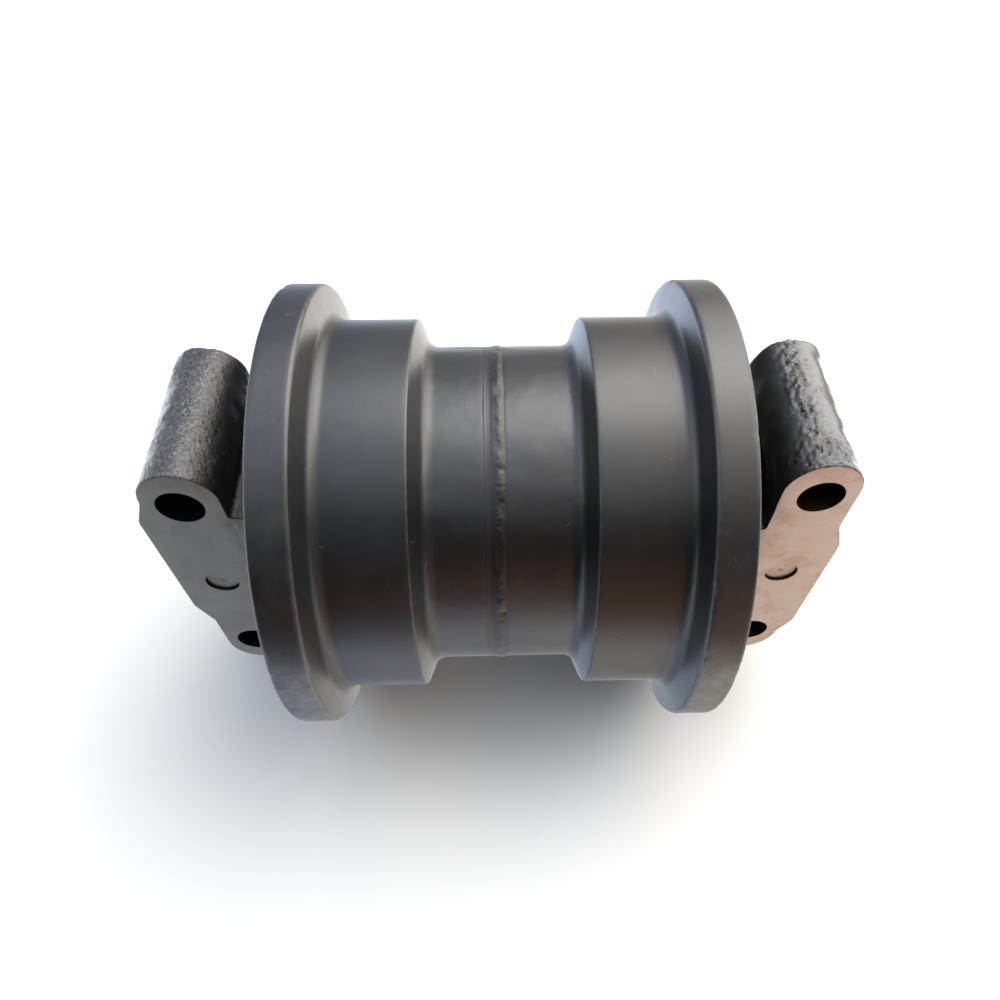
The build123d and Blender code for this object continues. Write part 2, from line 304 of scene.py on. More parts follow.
def weldSurface():
    # height over the barrel = low crown - smooth dish on one side + ridge broken by noise and a few pits +
    # arrow-shaped ripples - a shallow groove along the other edge
    v, s = weldValues, shellValues
    low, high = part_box("weld_bead")
    middle, halfWidth = (low.y + high.y) / 2 / mm, (high.y - low.y) / 2 / mm + v["overlap"]
    base, top = s["barrelRadius"], high.z / mm
    t = np.linspace(0.0, 2.0 * math.pi, v["around"], endpoint=False)
    y, turn = np.meshgrid(np.linspace(-halfWidth, halfWidth, v["across"]), t, indexing="ij")
    points = np.stack([base * np.cos(turn), y, base * np.sin(turn)], axis=-1).reshape(-1, 3)
    roughest, (largeLump, smallLump) = math.radians(v["roughestAt"]), v["lumpSizes"]
    worst = v["calmLevel"] + (1.0 - v["calmLevel"]) * np.cos(turn - roughest)
    seed = v["seed"]
    comes = v["brokenLevel"] + v["brokenRange"] * waves(points, v["brokenSize"], seed).reshape(y.shape)
    broken = worst * np.clip(comes, 0.1, 1.5)
    rough = waves(points, largeLump, seed + 1) + v["smallLumps"] * waves(points, smallLump, seed + 2)
    across = y / halfWidth
    bell = np.exp(-((y - v["ridgeAt"]) / v["ridgeHalfWidth"]) ** 2)
    (dishLow, dishHigh), slope = v["dishSpan"], v["dishSlope"]
    dish = smoothStep(y, dishLow, dishLow + slope) - smoothStep(y, dishHigh - slope, dishHigh)
    along = base * turn + v["rippleLean"] * y * y / halfWidth
    ripple = np.sin(2.0 * math.pi * along / v["ripplePitch"])
    height = v["crown"] * (1.0 - across ** 2) + v["ridge"] * bell * broken - v["dish"] * dish
    height -= v["groove"] * np.exp(-((y - v["grooveAt"]) / v["grooveHalfWidth"]) ** 2) + v["sink"] * across ** 10
    height += v["rippleHeight"] * ripple * (v["rippleAway"] + bell)
    height += v["lumps"] * rough.reshape(y.shape) * bell * broken
    rng = np.random.default_rng(seed + 5)
    spreadTurn, spreadY = v["pitSpread"]
    pitTurn, pitY = rng.normal(roughest, spreadTurn, v["pits"]), rng.normal(v["ridgeAt"], spreadY, v["pits"])
    centres = np.stack([base * np.cos(pitTurn), pitY, base * np.sin(pitTurn)], axis=1)
    sizes, depths = rng.uniform(*v["pitSize"], v["pits"]), rng.uniform(*v["pitDepth"], v["pits"])
    height -= dents(points, centres, sizes, depths).reshape(y.shape)
    r = np.minimum(base + height, top)
    surface = np.stack([r * np.cos(turn), middle + y, r * np.sin(turn)], axis=-1)
    root = np.stack([s["weldRoot"] * np.cos(t), middle + 0.0 * t, s["weldRoot"] * np.sin(t)], axis=-1)[None]
    return gridMesh("weldBead", np.concatenate([surface, root]))


collarValues = {
    "voxel": 0.76, "roundingPasses": 9, "roundingFactor": 0.5, "sharpAbove": 42.0,     # mm, and degrees
    "lumps": {"Right": ((15.0, 0.2), (6.0, 0.03)), "Left": ((12.0, 0.12), (5.0, 0.05))},   # lengths, heights
    "fusedLumps": {"Right": 0.3, "Left": 0.06}, "fusedSize": 2.9,
    # near black on the inboard side of each collar: black grease and painted shade in the gap beside the flange
    "shadeAndGreaseTo": {"Right": 114.0, "Left": 112.0}, "shadeAndGreaseFade": 8.0,        # mm from the middle of the part
    "dents": 30, "dentSize": (0.8, 2.6), "dentDepth": (0.2, 0.6),
    "calmAtFace": 0.92, "calmDepth": (6.0, 1.5),                         # smoother skin beside the bolted face
    "pushOut": 0.35, "pushDepth": (2.4, 0.6), "pushFade": 1.5, "hubShadowZ": 28.5,   # stock that is milled off
    "bossY": 116.2, "boltY": 117.0, "boltZ": 52.0, "boltRadius": 8.75, "spotRadius": 14.0, "spotDeep": 1.0,
    "pinRadius": 6.75, "pinBottom": 20.0, "boreRadius": 25.03, "floorY": 100.0, "faceX": 39.3, "bossBack": -26.5,
    "plugOver": 0.6, "borePlugOver": 0.8, "spotPlugOver": 0.5, "plugUnder": 0.05,   # plugs that fill the holes
    "cutPast": 9.0, "millTo": 90.0, "millDeep": 20.0, "near": 0.05,      # mm that cutters run on, and a tolerance
    "seeds": {"Right": 71, "Left": 97},
    "band": {"Right": {"lean": 10.0, "width": 15.0, "wider": 30.0},      # degrees round a boss
             "Left": {"strip": -45.0, "stripWidth": 14.0, "middle": -25.0, "width": 35.0, "least": 0.55}},
    "bandDepth": (18.0, 3.0), "stripTo": 15.0,
}


def fusedBand(points, word):
    # how strongly the sand has burnt on, 0 to 1, from the angle round a boss (0 on top, positive outboard)
    # and the distance from the bolted face. Right: a band that is narrow along the boss and wide beside the
    # face. Left: a broad bell over the top, less a smooth strip along the back half
    v, band = collarValues, collarValues["band"][word]
    angle = np.degrees(np.arctan2(np.abs(points[:, 1]) - v["bossY"], np.abs(points[:, 2]) - v["boltZ"]))
    if word == "Right":
        nearFace = smoothStep(points[:, 0], *(v["faceX"] - depth for depth in v["bandDepth"]))
        width = band["width"] + band["wider"] * nearFace
        return np.exp(-((angle + band["lean"] * (1.0 - nearFace)) / width) ** 2)
    strip = np.exp(-((angle - band["strip"]) / band["stripWidth"]) ** 2)
    strip = strip * (1.0 - smoothStep(points[:, 0], 0.0, v["stripTo"]))
    broad = np.exp(-((angle - band["middle"]) / band["width"]) ** 2)
    return (1.0 - strip) * (band["least"] + (1.0 - band["least"]) * broad)


def circle(radius, across, around=96):
    # points evenly round a circle
    t = np.linspace(0.0, 2.0 * math.pi, around, endpoint=False)
    return np.stack([across[0] + radius * np.cos(t), across[1] + radius * np.sin(t)], axis=1)


def rectangle(low, high):
    # the four corners between two opposite ones
    return np.array([(low[0], low[1]), (high[0], low[1]), (high[0], high[1]), (low[0], high[1])], float)


def prism(axis, outline, start, stop):
    # an outline carried straight along X or Y, closed by fans that run to the middle of each end
    middle = np.broadcast_to(outline.mean(axis=0), outline.shape)
    rings = np.stack([middle, outline, outline, middle])
    along = np.broadcast_to(np.array([start, start, stop, stop], float)[:, None], rings.shape[:2])
    order = (along, rings[..., 0], rings[..., 1]) if axis == "X" else (rings[..., 0], along, rings[..., 1])
    return gridMesh("prism", np.stack(order, axis=-1), loopU=False)


def joined(meshes, apart=1e-6):
    # several closed meshes as one, each point of a corner or pole kept once
    bm = bmesh.new()
    for mesh in meshes:
        bm.from_mesh(mesh)
    bmesh.ops.remove_doubles(bm, verts=bm.verts, dist=apart)
    bmesh.ops.recalc_face_normals(bm, faces=bm.faces)
    mesh = bpy.data.meshes.new("joined")
    bm.to_mesh(mesh)
    bm.free()
    return mesh


def modified(mesh, stack):
    # the mesh that a stack of (kind, settings) modifiers gives
    working = bpy.data.objects.new("working", mesh)
    scene.collection.objects.link(working)
    for kind, values in stack:
        mod = working.modifiers.new(kind, kind)
        for key, value in values.items():
            setattr(mod, key, value)
    bpy.context.view_layer.update()
    done = bpy.data.meshes.new_from_object(working.evaluated_get(bpy.context.evaluated_depsgraph_get()))
    bpy.data.objects.remove(working)
    return done


def cutBy(mesh, shape):
    # what is left of a mesh after a shape has been taken out of it
    cutter = bpy.data.objects.new("cutter", joined([shape]))
    scene.collection.objects.link(cutter)
    left = modified(mesh, [("BOOLEAN", {"operation": "DIFFERENCE", "object": cutter, "solver": "MANIFOLD"})])
    bpy.data.objects.remove(cutter)
    return left


def readVectors(data, field):
    # one row of three numbers for each vertex or face
    values = np.zeros(len(data) * 3, np.float32)
    data.foreach_get(field, values)
    return values.reshape(-1, 3).astype(float)


def collarMesh(word, side):
    # the CAD casting with its holes filled, remeshed, softened and roughened, then machined again
    v = collarValues
    node = "collar_" + word.lower()
    low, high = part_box(node)
    inner, outer = sorted(abs(c.y) / mm for c in (low, high))
    backX, faceX, floorY, boltZ = v["bossBack"] + v["spotDeep"], v["faceX"], v["floorY"], v["boltZ"]
    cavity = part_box("toric_ring_fixed_right")[1].z / mm
    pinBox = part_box("lock_pin_" + word.lower())
    boltY, pinY = side * v["boltY"], (pinBox[0].y + pinBox[1].y) / 2 / mm
    solids = [nodes[node].data]
    over, overBore, under = v["plugOver"], v["borePlugOver"], v["plugUnder"]
    spot = v["spotRadius"] + v["spotPlugOver"]
    for z in (-boltZ, boltZ):
        solids.append(prism("X", circle(v["boltRadius"] + over, (boltY, z)), backX - 0.8, faceX - under))
        solids.append(prism("X", circle(spot, (boltY, z)), backX - 0.9, backX + 1.5))
    solids.append(prism("X", circle(v["pinRadius"] + over, (pinY, 0.0)), v["pinBottom"], faceX - under))
    bore, axis = v["boreRadius"], (0.0, 0.0)
    solids.append(prism("Y", circle(bore + overBore, axis), side * (floorY - 2.0), side * (outer - under)))
    solids.append(prism("Y", circle(cavity + overBore, axis), side * (inner + under), side * (floorY + 0.5)))
    cast = modified(joined(solids), [
        ("REMESH", {"mode": "VOXEL", "voxel_size": v["voxel"] * mm, "adaptivity": 0.0}),
        ("SMOOTH", {"factor": v["roundingFactor"], "iterations": v["roundingPasses"]}),
    ])

    points = readVectors(cast.vertices, "co") / mm
    normals = readVectors(cast.vertex_normals, "vector")
    seed = v["seeds"][word]
    lift = sum(height * waves(points, size, seed + k) for k, (size, height) in enumerate(v["lumps"][word]))
    lift += v["fusedLumps"][word] * fusedBand(points, word) * waves(points, v["fusedSize"], seed + 7)
    rng = np.random.default_rng(seed + 9)
    picked = points[rng.integers(0, len(points), v["dents"])]
    sizes, depths = rng.uniform(*v["dentSize"], v["dents"]), rng.uniform(*v["dentDepth"], v["dents"])
    lift -= dents(points, picked, sizes, depths)
    lift *= 1.0 - v["calmAtFace"] * smoothStep(points[:, 0], *(faceX - depth for depth in v["calmDepth"]))
    points += normals * lift[:, None]
    onFace = smoothStep(points[:, 0], *(faceX - depth for depth in v["pushDepth"]))
    hubZ, fade = v["hubShadowZ"], v["pushFade"]
    besideHub = np.maximum(smoothStep(np.abs(points[:, 1]), floorY, floorY + fade),
                           smoothStep(np.abs(points[:, 2]), hubZ, hubZ + fade))
    points[:, 0] += v["pushOut"] * onFace * besideHub
    points[:, 1] = side * np.clip(np.abs(points[:, 1]), inner, outer - 0.03)
    cast.vertices.foreach_set("co", (points * mm).astype(np.float32).ravel())
    cast.update()

    far, past, millTop = v["millTo"], v["cutPast"], faceX + v["millDeep"]
    face = rectangle((side * (floorY + 0.4), -far), (side * (outer + past), far))
    shapes = [prism("X", face, faceX, millTop)]
    for z in (-far, hubZ + 0.5):
        face = rectangle((side * (inner + 5.0), z), (side * (floorY + 2.0), z + far - 0.5 - hubZ))
        shapes.append(prism("X", face, faceX, millTop))
    for z in (-boltZ, boltZ):
        shapes.append(prism("X", circle(v["boltRadius"], (boltY, z)), backX - past, faceX + past))
        shapes.append(prism("X", circle(v["spotRadius"], (boltY, z)), backX - past, backX))
    shapes.append(prism("X", circle(v["pinRadius"], (pinY, 0.0)), v["pinBottom"], faceX + past))
    shapes.append(prism("Y", circle(bore, axis), side * (floorY - 3.0), side * (outer + past)))
    shapes.append(prism("Y", circle(cavity, axis), side * (inner - past), side * floorY))
    for shape in shapes:
        cast = cutBy(cast, shape)

    centre = readVectors(cast.polygons, "center") / mm
    facing = readVectors(cast.polygons, "normal")[:, 0]
    fromBolt = np.hypot(centre[:, 1] - boltY, np.abs(centre[:, 2]) - boltZ)
    fromPin = np.hypot(centre[:, 1] - pinY, centre[:, 2])
    fromAxis = np.hypot(centre[:, 0], centre[:, 2])
    near = v["near"]
    holes = (fromBolt < v["boltRadius"] + near) | (fromAxis < bore + near)
    holes |= (fromPin < v["pinRadius"] + near) & (centre[:, 0] > v["pinBottom"])
    holes |= (fromAxis < cavity + near) & (np.abs(centre[:, 1]) < floorY + near)
    milled = (np.abs(centre[:, 0] - faceX) < 0.02) & (facing > 0.99)
    milled |= (np.abs(centre[:, 0] - backX) < 0.02) & (facing < -0.99) & (fromBolt < v["spotRadius"] + 0.1)
    finish = np.where(milled, 1, np.where(holes, 2, 0)).astype(np.int32)
    cast.materials.clear()
    cast.name = "collar" + word
    cast.polygons.foreach_set("material_index", finish)
    cast.polygons.foreach_set("use_smooth", finish != 1)
    cast.set_sharp_from_angle(angle=math.radians(v["sharpAbove"]))
    points = readVectors(cast.vertices, "co") / mm
    addAttribute(cast, "burntSand", fusedBand(points, word))
    # painted shade with black grease on the inboard side, in the gap beside the flange
    shadeAndGreaseTo = v["shadeAndGreaseTo"][word]
    addAttribute(cast, "shadeAndGrease", 1.0 - smoothStep(np.abs(points[:, 1]), shadeAndGreaseTo - v["shadeAndGreaseFade"], shadeAndGreaseTo))
    return cast


pinValues = {"chamfer": 0.5, "dimpleRadius": 1.0, "dimpleDepth": 0.7, "dimpleEdge": (0.2, 0.12), "around": 96,
             "sharpAbove": 30.0}   # mm, steps round, and degrees


def pinMesh(node):
    # a turned rod along X with a chamfered head and a small centre mark
    v = pinValues
    low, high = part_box(node)
    middle, radius = (low.y + high.y) / 2 / mm, (high.z - low.z) / 2 / mm
    tip, head = low.x / mm, high.x / mm
    cut, dimple, (edgeOut, edgeIn) = v["chamfer"], v["dimpleRadius"], v["dimpleEdge"]
    profile = np.array([
        (tip, 0.0), (tip, radius - cut), (tip + cut, radius), (head - cut, radius), (head, radius - cut),
        (head, dimple + edgeOut), (head - edgeIn, dimple), (head - v["dimpleDepth"], 0.0),
    ])
    t = np.linspace(0.0, 2.0 * math.pi, v["around"], endpoint=False)
    x, r = np.broadcast_to(profile[:, :1], (len(profile), len(t))), profile[:, 1:]
    mesh = joined([gridMesh(node, np.stack([x, middle + r * np.cos(t), r * np.sin(t)], axis=-1), loopU=False)])
    mesh.polygons.foreach_set("use_smooth", np.ones(len(mesh.polygons), bool))
    mesh.set_sharp_from_angle(angle=math.radians(v["sharpAbove"]))
    return mesh


def sized(millimetres):
    # texture scale, in repeats per metre, of a pattern this many millimetres across
    return 1000.0 / millimetres


paintValues = {
    "tone": 38.0, "scratchCell": 40.0, "scratchPatch": 9.0, "grain": 3.2, "smear": 9.0, "latheRing": 0.8,   # mm
    "latheDepth": 0.06, "peelDepth": 0.1, "latheStretch": (0.015, 1.0, 0.015),     # mm, and scale along X, Y, Z
    "toneStops": (0.32, 0.52, 0.72), "scratchColour": "#8b897f", "wornAndHighlightColour": "#6d6d69",
}


def shellPaint(name, look):
    # black satin enamel on forged and turned steel: a dark body under a broad soft shine, faint lathe rings,
    # edges worn to grey with a painted highlight along them, rims scuffed pale with a painted reflection on the
    # side that faces front and down, and a few hairline scratches
    v = paintValues
    mat, tree, shader = newMaterial(name, Metallic=0.0, Specular_IOR_Level=look["shine"])
    place = addNode(tree, "ShaderNodeTexCoord").outputs["Object"]
    broad = addNode(tree, "ShaderNodeTexNoise",
                    values={"Scale": sized(v["tone"]), "Detail": 4.0, "Roughness": 0.55},
                    links={"Vector": place}).outputs["Fac"]
    body = addNode(tree, "ShaderNodeValToRGB", links={"Fac": broad},
                   stops=[(k, linear(c)) for k, c in zip(v["toneStops"], look["body"])]).outputs["Color"]

    cells = addNode(tree, "ShaderNodeTexVoronoi", {"feature": "DISTANCE_TO_EDGE"},
                    {"Scale": sized(v["scratchCell"])}, {"Vector": place}).outputs["Distance"]
    line = addNode(tree, "ShaderNodeMapRange", values={1: 0.0015, 2: 0.0045, 3: look["scratches"], 4: 0.0},
                   links={0: cells}).outputs[0]
    shifted = addNode(tree, "ShaderNodeMapping", values={"Location": (0.31, 0.07, 0.53)}, links={"Vector": place})
    patch = addNode(tree, "ShaderNodeTexNoise", values={"Scale": sized(v["scratchPatch"]), "Detail": 1.0},
                    links={"Vector": shifted.outputs[0]}).outputs["Fac"]
    here = addNode(tree, "ShaderNodeMapRange", values={1: 0.66, 2: 0.72}, links={0: patch}).outputs[0]
    scratch = addNode(tree, "ShaderNodeMath", {"operation": "MULTIPLY"}, links={0: line, 1: here}).outputs[0]
    scratched = addNode(tree, "ShaderNodeMix", {"data_type": "RGBA"}, {7: linear(v["scratchColour"])},
                        {0: scratch, 6: body}).outputs[2]

    grain = addNode(tree, "ShaderNodeTexNoise",
                    values={"Scale": sized(v["grain"]), "Detail": 5.0, "Roughness": 0.65},
                    links={"Vector": place}).outputs["Fac"]
    # pale grey at worn edges and nicks, which is also a painted highlight along the edge radii
    edge = addNode(tree, "ShaderNodeAttribute", {"attribute_name": "edgeWearAndHighlight"}).outputs["Fac"]
    chipAndHighlightPattern = addNode(tree, "ShaderNodeMapRange", values={1: 0.3, 2: 0.62, 3: 0.3, 4: 1.0},
                    links={0: grain}).outputs[0]
    chippedAndHighlit = addNode(tree, "ShaderNodeMath", {"operation": "MULTIPLY"}, links={0: edge, 1: chipAndHighlightPattern}).outputs[0]
    bareAndHighlit = addNode(tree, "ShaderNodeMapRange", values={1: 0.3, 2: 1.0, 4: look["wearAndHighlight"]},
                   links={0: chippedAndHighlit}).outputs[0]
    wornAndHighlit = addNode(tree, "ShaderNodeMix", {"data_type": "RGBA"}, {7: linear(v["wornAndHighlightColour"])},
                   {0: bareAndHighlit, 6: scratched}).outputs[2]

    # pale rubbed rims, strongest on the side that faces front and down: scuffs and a painted reflection
    rim = addNode(tree, "ShaderNodeAttribute", {"attribute_name": "rimScuffAndReflection"}).outputs["Fac"]
    smear = addNode(tree, "ShaderNodeTexNoise",
                    values={"Scale": sized(v["smear"]), "Detail": 7.0, "Roughness": 0.72},
                    links={"Vector": place}).outputs["Fac"]
    rubbedAndLit = addNode(tree, "ShaderNodeMapRange", values={1: 0.34, 2: 0.62, 3: 0.15, 4: 0.8},
                     links={0: smear}).outputs[0]
    scuffAndReflection = addNode(tree, "ShaderNodeMath", {"operation": "MULTIPLY"}, links={0: rim, 1: rubbedAndLit}).outputs[0]
    colour = addNode(tree, "ShaderNodeMix", {"data_type": "RGBA"}, {7: linear(look["scuffAndReflection"])},
                     {0: scuffAndReflection, 6: wornAndHighlit}).outputs[2]
    tree.links.new(colour, shader.inputs["Base Color"])
    gloss, dull = look["roughness"]
    sheen = addNode(tree, "ShaderNodeMapRange", values={1: 0.3, 2: 0.7, 3: gloss, 4: dull},
                    links={0: broad}).outputs[0]
    tree.links.new(sheen, shader.inputs["Roughness"])

    along = addNode(tree, "ShaderNodeMapping", values={"Scale": v["latheStretch"]}, links={"Vector": place})
    rings = addNode(tree, "ShaderNodeTexNoise", values={"Scale": sized(v["latheRing"]), "Detail": 2.0},
                    links={"Vector": along.outputs[0]}).outputs["Fac"]
    lathe = addNode(tree, "ShaderNodeBump", values={"Strength": 0.25, "Distance": v["latheDepth"] * mm},
                    links={"Height": rings})
    peel = addNode(tree, "ShaderNodeBump", values={"Strength": 0.3, "Distance": v["peelDepth"] * mm},
                   links={"Height": grain, "Normal": lathe.outputs[0]})
    tree.links.new(peel.outputs[0], shader.inputs["Normal"])
    return mat


castValues = {"tone": 11.0, "pitDepth": 0.6, "toneStops": (0.34, 0.7), "shadeAndGreaseColour": "#050505",   # mm, ramp places
              "shadeAndGreaseRoughness": 0.5, "shadeAndGreaseCoat": 0.05, "coatRoughness": 0.1}


def castPaint(name, look):
    # gloss black paint over raw sand-cast iron: grains the size of coarse sand and blow holes, strongest where
    # the sand has burnt on, with the tips of the grains painted pale there as worn paint and painted glints, and
    # black grease with painted shade beside the roller
    v = castValues
    mat, tree, shader = newMaterial(name, Metallic=0.0, Specular_IOR_Level=look["shine"],
                                    Coat_Roughness=v["coatRoughness"])
    place = addNode(tree, "ShaderNodeTexCoord").outputs["Object"]
    patchy = addNode(tree, "ShaderNodeTexNoise",
                     values={"Scale": sized(v["tone"]), "Detail": 5.0, "Roughness": 0.6},
                     links={"Vector": place}).outputs["Fac"]
    colour = addNode(tree, "ShaderNodeValToRGB", links={"Fac": patchy},
                     stops=[(k, linear(c)) for k, c in zip(v["toneStops"], look["body"])])
    burnt = addNode(tree, "ShaderNodeAttribute", {"attribute_name": "burntSand"}).outputs["Fac"]
    sand = addNode(tree, "ShaderNodeTexNoise",
                   values={"Scale": sized(look["sandSize"]), "Detail": 4.0, "Roughness": 0.7},
                   links={"Vector": place}).outputs["Fac"]
    # pale grain tips where the sand has burnt on: worn paint and painted glints together
    glintsOnTips = addNode(tree, "ShaderNodeMapRange", values={1: 0.5, 2: 0.66, 4: look["bareAndHighlit"]},
                   links={0: sand}).outputs[0]
    rubbedAndLit = addNode(tree, "ShaderNodeMath", {"operation": "MULTIPLY"}, links={0: glintsOnTips, 1: burnt}).outputs[0]
    speckledWithGlints = addNode(tree, "ShaderNodeMix", {"data_type": "RGBA"}, {7: linear(look["tip"])},
                       {0: rubbedAndLit, 6: colour.outputs["Color"]}).outputs[2]
    # near black with less coat on the inboard side: black grease and painted shade in the gap beside the flange
    shadeAndGrease = addNode(tree, "ShaderNodeAttribute", {"attribute_name": "shadeAndGrease"}).outputs["Fac"]
    shadedAndGreasy = addNode(tree, "ShaderNodeMix", {"data_type": "RGBA"}, {7: linear(v["shadeAndGreaseColour"])},
                    {0: shadeAndGrease, 6: speckledWithGlints})
    tree.links.new(shadedAndGreasy.outputs[2], shader.inputs["Base Color"])
    gloss, dull = look["roughness"]
    sheen = addNode(tree, "ShaderNodeMapRange", values={1: 0.3, 2: 0.7, 3: gloss, 4: dull},
                    links={0: patchy}).outputs[0]
    roughnessInShadeAndGrease = addNode(tree, "ShaderNodeMix", {"data_type": "FLOAT"}, {3: v["shadeAndGreaseRoughness"]},
                      {0: shadeAndGrease, 2: sheen})
    tree.links.new(roughnessInShadeAndGrease.outputs[0], shader.inputs["Roughness"])
    coat = addNode(tree, "ShaderNodeMapRange", values={3: look["coat"], 4: v["shadeAndGreaseCoat"]}, links={0: shadeAndGrease})
    tree.links.new(coat.outputs[0], shader.inputs["Coat Weight"])
    (leastSand, mostSand), (leastPits, mostPits) = look["sand"], look["pits"]
    sandHeight = addNode(tree, "ShaderNodeMapRange", values={3: leastSand, 4: mostSand}, links={0: burnt})
    pitHeight = addNode(tree, "ShaderNodeMapRange", values={3: leastPits, 4: mostPits}, links={0: burnt})
    near = addNode(tree, "ShaderNodeTexVoronoi", {"feature": "F1"}, {"Scale": sized(look["pitSize"])},
                   {"Vector": place}).outputs["Distance"]
    hollow = addNode(tree, "ShaderNodeMapRange", values={1: 0.05, 2: 0.35}, links={0: near}).outputs[0]
    fine = addNode(tree, "ShaderNodeBump", values={"Distance": look["sandHeight"] * mm},
                   links={"Strength": sandHeight.outputs[0], "Height": sand})
    deep = addNode(tree, "ShaderNodeBump", values={"Distance": v["pitDepth"] * mm},
                   links={"Strength": pitHeight.outputs[0], "Height": hollow, "Normal": fine.outputs[0]})
    tree.links.new(deep.outputs[0], shader.inputs["Normal"])
    tree.links.new(deep.outputs[0], shader.inputs["Coat Normal"])
    return mat


ironValues = {"stain": 14.0, "toolMark": 1.1, "toolDepth": 0.1, "markStretch": (1.0, 0.03, 1.0),   # mm, scale
              "toneStops": (0.28, 0.5, 0.72), "film": (0.36, 0.56)}


def machinedIron(name, colours, **values):
    # milled or turned metal: fine parallel tool marks under a thin film of oil and dried dirt
    v = ironValues
    mat, tree, shader = newMaterial(name, **values)
    place = addNode(tree, "ShaderNodeTexCoord").outputs["Object"]
    stain = addNode(tree, "ShaderNodeTexNoise",
                    values={"Scale": sized(v["stain"]), "Detail": 6.0, "Roughness": 0.62},
                    links={"Vector": place}).outputs["Fac"]
    colour = addNode(tree, "ShaderNodeValToRGB", links={"Fac": stain},
                     stops=[(k, linear(c)) for k, c in zip(v["toneStops"], colours)])
    tree.links.new(colour.outputs["Color"], shader.inputs["Base Color"])
    least, most = v["film"]
    film = addNode(tree, "ShaderNodeMapRange", values={1: 0.3, 2: 0.7, 3: least, 4: most}, links={0: stain})
    tree.links.new(film.outputs[0], shader.inputs["Roughness"])
    across = addNode(tree, "ShaderNodeMapping", values={"Scale": v["markStretch"]}, links={"Vector": place})
    marks = addNode(tree, "ShaderNodeTexNoise", values={"Scale": sized(v["toolMark"]), "Detail": 3.0},
                    links={"Vector": across.outputs[0]}).outputs["Fac"]
    tool = addNode(tree, "ShaderNodeBump", values={"Strength": 0.25, "Distance": v["toolDepth"] * mm},
                   links={"Height": marks})
    tree.links.new(tool.outputs[0], shader.inputs["Normal"])
    return mat


satinPaint = shellPaint("satinEnamelOnForgedSteel", {
    "body": ("#131415", "#17181a", "#1c1d20"), "shine": 1.0, "roughness": (0.33, 0.42), "wearAndHighlight": 0.3,
    "scratches": 0.35, "scuffAndReflection": "#9b9b97"})
weldPaint = shellPaint("enamelOnWeldMetal", {
    "body": ("#121212", "#171717", "#1c1c1b"), "shine": 0.9, "roughness": (0.34, 0.46), "wearAndHighlight": 0.0,
    "scratches": 0.0, "scuffAndReflection": "#8e8f8c"})
# tip and bare give pale grain tips: painted glints as well as worn paint
castLeft = castPaint("blackPaintOnSandCastIron", {
    "body": ("#101010", "#222221"), "shine": 0.9, "roughness": (0.2, 0.34), "coat": 0.6,
    "tip": "#969b9b", "bareAndHighlit": 0.6, "sand": (0.2, 0.8), "sandSize": 1.05, "sandHeight": 0.5,
    "pits": (0.1, 0.4), "pitSize": 2.4})
castRight = castPaint("thickBlackPaintOnSandCastIron", {
    "body": ("#121111", "#22211f"), "shine": 0.9, "roughness": (0.13, 0.24), "coat": 0.7,
    "tip": "#9c9b95", "bareAndHighlit": 0.4, "sand": (0.03, 1.0), "sandSize": 1.8, "sandHeight": 0.8,
    "pits": (0.04, 1.0), "pitSize": 3.4})
faceLeft = machinedIron("oiledMilledIron", ("#75756b", "#8a8a81", "#989a94"), Metallic=0.3)
faceRight = machinedIron("dryMilledIron", ("#bf9a84", "#e8ceba", "#f2e0d1"), Metallic=0.38)
# hole walls near black: soot and rust, and painted shade inside the holes
holeLeft = machinedIron("sootAndPaintedShadeInHoles", ("#050505", "#0a0a0a", "#100f0e"), Metallic=0.0)
holeRight = machinedIron("rustAndPaintedShadeInHoles", ("#20150d", "#2e1f14", "#3d2b1d"), Metallic=0.0)
turnedSteel = machinedIron("turnedShaftSteel", ("#7f7d79", "#93918c", "#a5a29c"), Metallic=1.0)
sealIron = machinedIron("lappedSealIron", ("#3b3b3c", "#4a4a4b", "#5a5a5a"), Metallic=0.9)
bronze = machinedIron("sinteredBronze", ("#7d5a2a", "#966d35", "#a97f45"), Metallic=1.0)
plugSteel = machinedIron("zincPlatedSteel", ("#4f4d49", "#63615c", "#77746d"), Metallic=0.9)
rubber = machinedIron("nitrileRubber", ("#0c0c0c", "#111111", "#181818"), Metallic=0.0)
print("materials made")

for side, word in ((1, "Right"), (-1, "Left")):
    lower = word.lower()
    addPiece("shellHalf" + word, shellHalf(side), "roller", ["shell_half_" + lower], [satinPaint])
    collarMats = [castRight, faceRight, holeRight] if side > 0 else [castLeft, faceLeft, holeLeft]
    addPiece("collar" + word, collarMesh(word, side), "axle_frame",
             ["collar_" + lower], collarMats)
    addPiece("lockPin" + word, pinMesh("lock_pin_" + lower), "axle_frame",
             ["lock_pin_" + lower], [collarMats[1]])
    print("made the", lower, "shell half, collar and lock pin")
addPiece("weldBead", weldSurface(), "roller", ["weld_bead"], [weldPaint])
print("made the weld bead")

cadFinish = {"shaft": turnedSteel, "oil_plug": plugSteel, "bushing": bronze, "seal_ring": sealIron,
             "toric_ring": rubber, "shaft_oring": rubber}
for name, obj in nodes.items():
    for start, mat in cadFinish.items():
        if name.startswith(start) and not (start == "shaft" and name != "shaft"):
            obj.data.materials.clear()
            obj.data.materials.append(mat)
print("CAD nodes finished")


